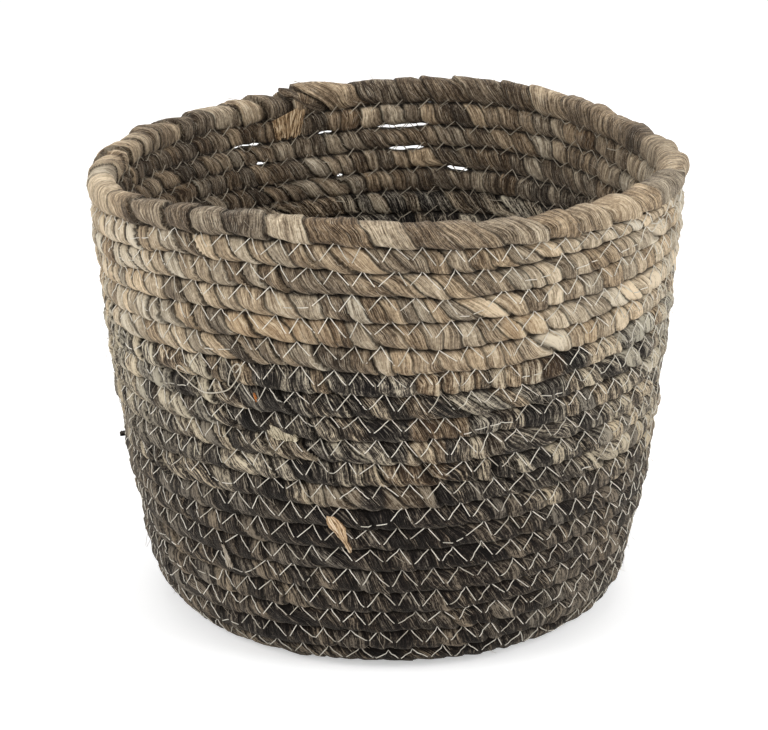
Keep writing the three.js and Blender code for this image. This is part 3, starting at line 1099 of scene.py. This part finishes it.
def leaf_material(name, colours, veins=16.0):
    """A strip of husk seen flat, with its long veins, which lie closer the larger the number."""
    material, n, shader = fresh_material(name, 0.7)
    across, along = painted(n, "leaf_across"), painted(n, "leaf_along")
    place = n.joined(n.product(across, veins), n.product(along, 1.6), 0.0)
    ribs = n.noise(place, 1.0, 3.0, roughness=0.65)
    speckles = n.noise(n.add("ShaderNodeTexCoord", out="Object"), 500.0, 2.0)
    light = n.sum(n.product(ribs, 4.2), n.product(speckles, 0.4), MIDDLE_SHADE)
    edge = n.ramped(n.math("ABSOLUTE", across), 0.4, 0.5, 0.0, -0.2)
    n.give(shader, "Base Color", shades(n, n.sum(light, edge), colours))
    bumpy(n, shader, ribs, 0.5, 0.3 * MM)
    return material


def thread_material(name, clean, soiled):
    """Sewing thread with its ply and a little soiling."""
    material, n, shader = fresh_material(name, 0.6)
    place = n.add("ShaderNodeTexCoord", out="Object")
    soiling = n.ramped(n.sum(n.noise(place, 90.0, 3.0), 0.5), 0.35, 0.7)
    n.give(shader, "Base Color", mixed(n, soiling, colour(*clean), colour(*soiled)))
    bumpy(n, shader, n.noise(place, 2200.0, 1.0), 0.4, 0.1 * MM)
    return material


# The pieces

def laid(piece, slot, *nodes):
    """Puts a piece on the basket, in place of the solids that it stands for."""
    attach(piece, "root")
    if nodes:
        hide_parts(*nodes)
    return piece


# The ropes of base and wall: piece, first and last turn, step along it, how many of its strips
# are tan, its finish and the solid that it replaces
ROPE_PLANS = [
    ("charcoal_base", CURL_START, WALL_START, 1.6 * MM, 0.0001, "charcoal_husk", "base_rope"),
    ("charcoal_wall", WALL_START, MIXED_START, 1.28 * MM, 0.0001, "charcoal_husk", "dark_rope"),
    ("mixed_wall", MIXED_START, NATURAL_START, 1.08 * MM, 0.01, "mixed_husk", "mixed_rope"),
    ("natural_wall", NATURAL_START, ROPE_END, 0.95 * MM, 0.05, "natural_husk", "natural_rope"),
]
RIM_STEP = 0.62 * MM


def make_ropes():
    tree = rope_tree()
    ropes = []
    for name, start, end, step, tan_share, slot, node in ROPE_PLANS:
        path = wall_rope_path(name, start, end, step)
        rope = grown(
            name, path, tree, husk_material(slot.replace("_", " "), tan_share), sides=24,
            lay_length=LAY_LENGTH, strips=float(STRIPS_PER_LAY), crease_depth=1.2 * MM,
            overlap_step=1.2 * MM, gap_depth=2.4 * MM, curl_height=0.9 * MM,
            lump_height=1.6 * MM, open_top=0.0,
        )
        ropes.append(laid(facing_out(rope), slot, node))
    rim_husk = husk_material("rim husk", tan_share=0.03, open_top=1.0, fine=2.0)
    rim = grown(
        "rim", rim_path("rim", RIM_STEP), tree, rim_husk, sides=40, lay_length=LAY_LENGTH,
        strips=1.0, crease_depth=0.8 * MM, overlap_step=2.4 * MM, gap_depth=1.0 * MM,
        curl_height=0.0, lump_height=1.8 * MM, open_top=1.0,
    )
    ropes.append(laid(facing_out(rim), "rim_husk", "rim_rope"))
    return ropes


def all_in_one(pieces):
    """One joined copy of the pieces, for what is laid on them."""
    copies = []
    for piece in pieces:
        copy = bpy.data.objects.new("copy", piece.data.copy())
        bpy.context.scene.collection.objects.link(copy)
        copies.append(copy)
    with bpy.context.temp_override(
        active_object=copies[0], selected_editable_objects=copies, selected_objects=copies
    ):
        bpy.ops.object.join()
    return copies[0]


def make_stitching(ropes):
    tree = stitch_tree()
    outer = grown(
        "outer_stitching", seam_path("outer_seam"), tree,
        thread_material("off-white thread", *OUTER_THREAD_SHADES),
        ropes=ropes, half_stitch=HALF_STITCH, rise=1.6 * MM, drop=5.2 * MM, side=1.0,
        bridge=4.4 * MM, missed_share=0.05, buried=0.1 * MM, buried_at_left=0.4 * MM,
        thread_radius=THREAD_RADIUS, seed=4,
    )
    inner = grown(
        "inner_stitching", seam_path("inner_seam"), tree,
        thread_material("dull beige thread", *INNER_THREAD_SHADES),
        ropes=ropes, half_stitch=HALF_STITCH, rise=3.2 * MM, drop=2.2 * MM, side=-1.0,
        bridge=4.9 * MM, missed_share=0.02, buried=1.2 * MM, buried_at_left=1.2 * MM,
        thread_radius=THREAD_RADIUS, seed=9,
    )
    for piece, slot, node in (
        (outer, "outer_thread", "needle_thread"), (inner, "inner_thread", "bobbin_thread"),
    ):
        without_helpers(piece, "out", "up", "forward", "on_base", "stitch")
        laid(facing_out(piece), slot, node)


def make_fibres(ropes):
    material, _, shader = fresh_material("loose husk fibre", 0.8)
    shader.inputs["Base Color"].default_value = colour(*FIBRE_SHADE)
    tree = fibre_tree()
    plans = {
        "loose_fibres": dict(
            density=3500.0, shortest=3 * MM, longest=9 * MM, lift=0.3, stray=0.7,
            fibre_radius=0.05 * MM, seed=12,
        ),
        "lying_fibres": dict(
            density=16000.0, shortest=4 * MM, longest=8 * MM, lift=0.05, stray=0.3,
            fibre_radius=0.07 * MM, seed=15,
        ),
    }
    for name, plan in plans.items():
        fibres = grown(name, ropes.data.copy(), tree, material, **plan)
        without_helpers(
            fibres, *ROPE_HELPERS, "around", "strip", "dye", "tone_and_painted_light", "tan", "inside", "fray"
        )
        laid(fibres, "natural_husk")


# The grid of a strip's free end, and its nicked edges, its veins and how far it arches
LEAF_ROWS, LEAF_COLUMNS = 41, 21
LEAF_NICKS = 0.3 * MM
LEAF_VEINS = 0.08 * MM
LEAF_ARCH = 0.4 * MM


def leaf(name, material, place, length, widths, lean, lift, side=1, stand=5.5 * MM, slope=0.0,
         thickness=0.25 * MM):
    """A strip's free end on the wall, from its root down to its torn tip, closed all round.

    Its place is rows below the rim and degrees, and its widths are spread evenly along it.
    """
    rows_down, degrees = place
    along, across = np.meshgrid(
        np.linspace(0, 1, LEAF_ROWS), np.linspace(-0.5, 0.5, LEAF_COLUMNS), indexing="ij"
    )
    wide = np.interp(along, np.linspace(0, 1, len(widths)), np.array(widths) * MM)
    nicks = LEAF_NICKS * (np.sin(23 * along) + 0.6 * np.sin(51 * along + 2))
    sideways = across * (wide + nicks) + lean * (along - 0.5)
    torn = (np.sin(19 * across + 1) + 0.7 * np.sin(47 * across)) * 0.05 * along
    drop = (0.5 - along - torn) * length + slope * across * (1 - along)
    level = RIM_BOTTOM - rows_down * ROW_PITCH
    angle = degrees * DEGREE + sideways / np.interp(level, LEVELS, RADII)
    middle, out, _ = wall_place(level + drop, angle)
    veins = LEAF_VEINS * np.sin(25 * across + 2 * along)
    away = stand + lift * along ** 2 + (veins + LEAF_ARCH * (1 - (2 * across) ** 2))
    layers = [middle + side * out * (away + extra)[..., None] for extra in (0.0, thickness)]
    return shell(name, material, layers, along, across)


def shell(name, material, layers, grid_along, grid_across):
    """A thin piece from its two faces, each a grid of points, joined round their edge."""
    rows, columns = grid_along.shape
    points = np.concatenate([layer.reshape(-1, 3) for layer in layers])
    faces = []
    back = rows * columns
    for r in range(rows - 1):
        for c in range(columns - 1):
            a = r * columns + c
            faces.append((a, a + 1, a + columns + 1, a + columns))
            faces.append((back + a, back + a + columns, back + a + columns + 1, back + a + 1))
    edge = list(range(columns))
    edge += [r * columns + columns - 1 for r in range(1, rows)]
    edge += [(rows - 1) * columns + c for c in range(columns - 2, -1, -1)]
    edge += [r * columns for r in range(rows - 2, 0, -1)]
    for a, b in zip(edge, edge[1:] + edge[:1]):
        faces.append((a, back + a, back + b, b))
    mesh = bpy.data.meshes.new(name)
    mesh.from_pydata(points.tolist(), [], faces)
    for key, grid in (("leaf_along", grid_along), ("leaf_across", grid_across)):
        layer = mesh.attributes.new(key, "FLOAT", "POINT")
        layer.data.foreach_set("value", np.tile(grid.ravel(), 2).astype(np.float32))
    mesh.materials.append(material)
    mesh.shade_smooth()
    made = bpy.data.objects.new(name, mesh)
    bpy.context.scene.collection.objects.link(made)
    return facing_out(made)


def make_leaves():
    striped = leaf_material("striped tan husk", FLAP_SHADES, 17.0)
    tan = leaf_material("pale tan husk", TIP_SHADES, 9.0)
    pale = leaf_material("pale husk", PALE_SHADES)
    olive = leaf_material("olive husk", OLIVE_SHADES, 24.0)
    bright = leaf_material("orange husk", ORANGE_SHADES, 5.0)
    dark = leaf_material("dark husk", CHARCOAL_SHADES)
    flap = leaf(
        "join_flap", striped, (0.3, 114.5), length=12 * MM, widths=(18, 16.5, 14.5, 12.5),
        lean=1 * MM, lift=-0.7 * MM, side=-1, stand=6.2 * MM, slope=-5.7 * MM,
    )
    laid(flap, "tan_husk", "husk_flap_at_join")
    tip = leaf(
        "front_tip", tan, (11.9, -100), length=14 * MM, widths=(2.5, 6.2, 5.8, 3.4, 1.8, 1.4),
        lean=7.5 * MM, lift=1.6 * MM,
    )
    laid(tip, "tan_husk", "husk_tip_front")
    low = leaf(
        "low_tip", pale, (13.8, -126.8), length=9 * MM, widths=(0.8, 1.6, 2.6, 3.4),
        lean=3.3 * MM, lift=1.4 * MM,
    )
    laid(low, "tan_husk", "husk_tip_low")
    torn = leaf(
        "torn_leaf", olive, (7.8, -111.2), length=5 * MM, widths=(7, 11.5, 12.5, 12, 10),
        lean=3 * MM, lift=0.4 * MM, stand=4.6 * MM, slope=-2 * MM,
    )
    laid(torn, "tan_husk")
    sliver = leaf(
        "orange_sliver", bright, (6.35, -116.1), length=3.4 * MM, widths=(0.3, 1.0, 1.1, 0.4),
        lean=1 * MM, lift=0.2 * MM, stand=4.9 * MM,
    )
    laid(sliver, "tan_husk")
    stub = leaf(
        "dark_stub", dark, (11.5, -179), length=1.5 * MM, widths=(3, 2.6, 2.2), lean=0.0,
        lift=0.0, stand=4.5 * MM, thickness=4 * MM,
    )
    laid(stub, "mixed_husk")


def tube_tree():
    """A plain round thread along a path."""
    tree, n, given = shape_tree("plain thread", {
        "Thread Radius": "Float", "Material": "Material",
    })
    line = n.add("GeometryNodeMeshToCurve", {"Mesh": given["Geometry"]})
    thread = thread_along(n, line, SLACK_SIDES, given["Thread Radius"])
    return close_tree(tree, n, thread, given["Material"])


def softened(points):
    """Rounds a chain of points by cutting its corners off again and again."""
    for _ in range(4):
        first, last = points[:-1], points[1:]
        cut = np.stack([0.75 * first + 0.25 * last, 0.25 * first + 0.75 * last], 1)
        points = np.concatenate([points[:1], cut.reshape(-1, points.shape[1]), points[-1:]])
    return points


def make_slack_thread():
    """A stitch with slack in it: it lies on the wall, and both its ends go into the rope."""
    degrees, rows_down = softened(np.array(SLACK_THREAD)).T
    middle, out, _ = wall_place(RIM_BOTTOM - rows_down * ROW_PITCH, degrees * DEGREE)
    share = np.linspace(0, 1, len(degrees))
    at_ends = 1 - smooth_step(np.minimum(share, 1 - share), 0, 0.06)
    stand = SLACK_STAND - SLACK_END_DEPTH * at_ends
    path = path_mesh("slack_thread", middle + out * stand[:, None], {})
    material = thread_material("slack thread", *SLACK_THREAD_SHADES)
    thread = grown("slack_thread", path, tube_tree(), material, thread_radius=SLACK_RADIUS)
    laid(facing_out(thread), "outer_thread")


# Floor, light and camera

FLOOR_SIZE = 12
FLOOR_SHADE = (240, 240, 240)
FLOOR_GLOW = 0.42  # seen by the camera alone, so that the floor looks white
WORLD_STRENGTH = 0.45
WHITE = (1, 1, 1, 1)

# The soft lamps: place, side of the square and power
LAMPS = {
    "left_lamp": ((-1.3, -0.7, 0.9), 1.0, 13),
    "right_lamp": ((1.3, -0.7, 0.9), 1.0, 14),
    "top_lamp": ((0, 0.2, 1.7), 1.2, 12),
    "front_lamp": ((0, -1.6, 0.8), 0.8, 3),
}
LAMP_AIM = (0, 0, 0.09)

CAMERA_PLACE = (0, -1.10, 0.47)
CAMERA_TILT = 0.325  # how far it looks down, in radians
CAMERA_LENS = 126.6
SENSOR_WIDTH = 36
PICTURE_WIDTH = 768  # in pixels
PICTURE_SHIFT = -6  # in pixels, so that the basket stands where the photo has it


def make_floor():
    bpy.ops.mesh.primitive_plane_add(size=FLOOR_SIZE)
    floor = bpy.context.object
    floor.name = "floor"
    material, n, shader = fresh_material("pale floor", 0.9)
    shader.inputs["Base Color"].default_value = colour(*FLOOR_SHADE)
    shader.inputs["Emission Color"].default_value = WHITE
    seen = n.add("ShaderNodeLightPath", out="Is Camera Ray")
    n.give(shader, "Emission Strength", n.product(seen, FLOOR_GLOW))
    floor.data.materials.append(material)


def make_lamp(name, place, side, power):
    lamp = bpy.data.lights.new(name, "AREA")
    lamp.shape = "SQUARE"
    lamp.size = side
    lamp.energy = power
    made = bpy.data.objects.new(name, lamp)
    made.location = place
    aim = Vector(LAMP_AIM) - made.location
    made.rotation_euler = aim.to_track_quat("-Z", "Y").to_euler()
    bpy.context.scene.collection.objects.link(made)


def make_world():
    world = bpy.context.scene.world or bpy.data.worlds.new("studio")
    bpy.context.scene.world = world
    world.use_nodes = True
    n = Nodes(world.node_tree)
    path = n.node("ShaderNodeLightPath")
    seen = n.math("MAXIMUM", path.outputs["Is Camera Ray"], path.outputs["Is Glossy Ray"])
    background = world.node_tree.nodes["Background"]
    background.inputs["Color"].default_value = WHITE
    strength = n.math("MULTIPLY_ADD", seen, 1 - WORLD_STRENGTH, WORLD_STRENGTH)
    n.give(background, "Strength", strength)


def make_camera():
    camera = bpy.data.cameras.new("camera")
    camera.lens = CAMERA_LENS
    camera.sensor_width = SENSOR_WIDTH
    camera.shift_x = PICTURE_SHIFT / PICTURE_WIDTH
    made = bpy.data.objects.new("camera", camera)
    made.location = CAMERA_PLACE
    made.rotation_euler = (math.pi / 2 - CAMERA_TILT, 0, 0)
    bpy.context.scene.collection.objects.link(made)
    bpy.context.scene.camera = made
    bpy.context.scene.view_settings.view_transform = "Standard"


def make_studio():
    make_floor()
    for name, lamp in LAMPS.items():
        make_lamp(name, *lamp)
    make_world()
    make_camera()


def main():
    ropes = make_ropes()
    together = all_in_one(ropes)
    make_stitching(together)
    make_fibres(together)
    bpy.data.objects.remove(together)
    for rope in ropes:
        without_helpers(rope, *ROPE_HELPERS)
    make_leaves()
    make_slack_thread()
    make_studio()


main()
